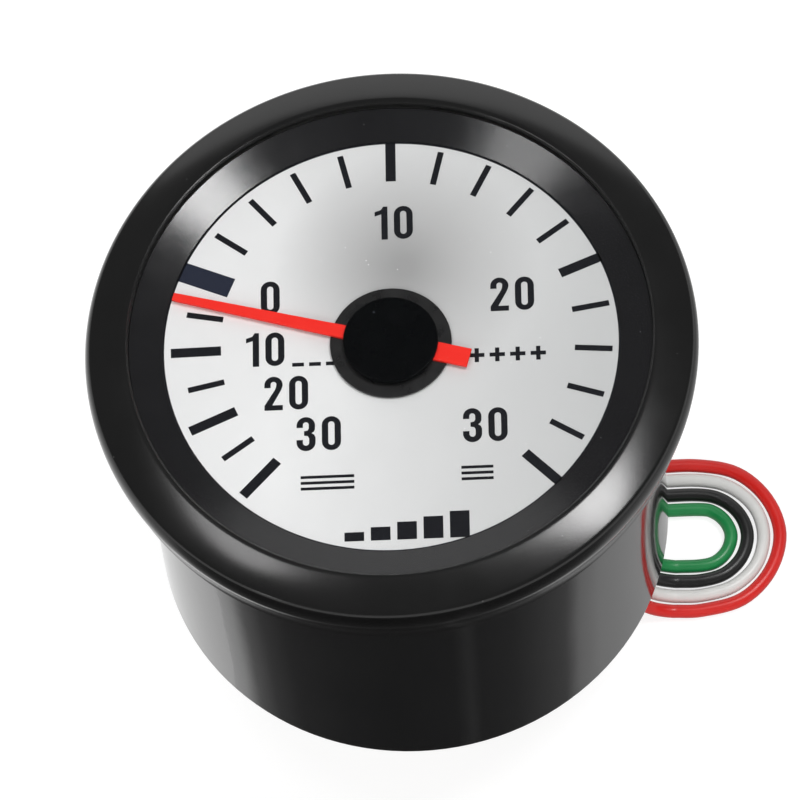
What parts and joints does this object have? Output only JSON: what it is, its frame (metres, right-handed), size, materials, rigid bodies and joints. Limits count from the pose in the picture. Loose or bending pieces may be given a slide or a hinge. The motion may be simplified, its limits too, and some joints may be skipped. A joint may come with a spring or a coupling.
{
  "type": "boost gauge",
  "caption": "Round panel-mount boost and vacuum gauge with a rounded black bezel, silver dial, red pointer, geared tube movement, rear studs, pressure stem and leads.",
  "frame": {"origin": "on the gauge's axis, level with the ends of the two rear studs and of the pressure stem that it stands on", "axes": "+Z out of the dial, +Y toward the dial's twelve o'clock, +X toward its three o'clock"},
  "size_m": [0.0681, 0.06, 0.0575],
  "materials": {
    "case_black": "gloss",
    "bezel_black": "satin gloss black",
    "ring_black": "satin",
    "lens_clear": "clear",
    "black_rubber": "matte",
    "dial_silver": "silver-white satin print",
    "pointer_red": "satin red",
    "hub_black": "matte",
    "brass": "machined",
    "spring_bronze": "satin",
    "steel": "turned",
    "zinc_steel": "zinc plated",
    "board_white": "white resist",
    "lamp_clear": "gloss",
    "lead_red": "satin",
    "lead_white": "satin",
    "lead_black": "satin",
    "lead_green": "satin",
    "tinned_copper": "tinned strands"
  },
  "bodies": {
    "case": {"housing": "case_black", "bezel": "bezel_black", "lens": "lens_clear", "lens_gasket": "black_rubber", "reflector_ring": "ring_black", "dial_plate": "dial_silver", "bourdon_tube": "spring_bronze", "pressure_socket": "brass", "socket_nut": "brass", "socket_washer": "zinc_steel", "rear_plate": "brass", "front_plate": "brass", "plate_pillars": "brass", "plate_screws": "steel", "socket_screws": "steel", "studs": "zinc_steel", "stud_nuts": "zinc_steel", "lamp_board": "board_white", "lamps": "lamp_clear", "board_screws": "steel", "grommet": "black_rubber", "inner_leads": "lead_black", "lead_red": "lead_red", "lead_white": "lead_white", "lead_black": "lead_black", "lead_green": "lead_green", "lead_ends": "tinned_copper"},
    "pointer_set": {"arbor": "steel", "pointer": "pointer_red", "pointer_hub": "hub_black", "hub_cap": "hub_black", "hairspring": "spring_bronze"},
    "sector_set": {"sector_gear": "brass", "sector_shaft": "steel"},
    "link_bar": {"link": "steel"},
    "tip_block": {"tube_tip": "brass"}
  },
  "joints": [
    {"name": "sector_swing", "type": "hinge", "parent": "case", "child": "sector_set", "pos_m": [0.00564, -0.0155, 0.0394], "axis": [0, 0, 1], "range_deg": [-6.05, 20.95]},
    {"name": "pointer_turn", "type": "hinge", "parent": "case", "child": "pointer_set", "pos_m": [0, 0, 0.0394], "axis": [0, 0, 1], "range_deg": [-209.5, 60.5], "deforming": ["hairspring"]},
    {"name": "link_swing", "type": "hinge", "parent": "sector_set", "child": "link_bar", "pos_m": [0.012, -0.01686, 0.0406], "axis": [0, 0, 1], "range_deg": [-22.6, 6.6]},
    {"name": "tip_bend", "type": "hinge", "parent": "case", "child": "tip_block", "pos_m": [-0.0037, 0, 0.0394], "axis": [0, 0, 1], "range_deg": [-1.6, 5.4], "deforming": ["bourdon_tube"]}
  ],
  "couplings": [
    {"joint": "pointer_turn", "follows": "sector_swing", "ratio": -10},
    {"joint": "link_swing", "follows": "sector_swing", "ratio": -1.077},
    {"joint": "tip_bend", "follows": "sector_swing", "ratio": 0.254}
  ]
}
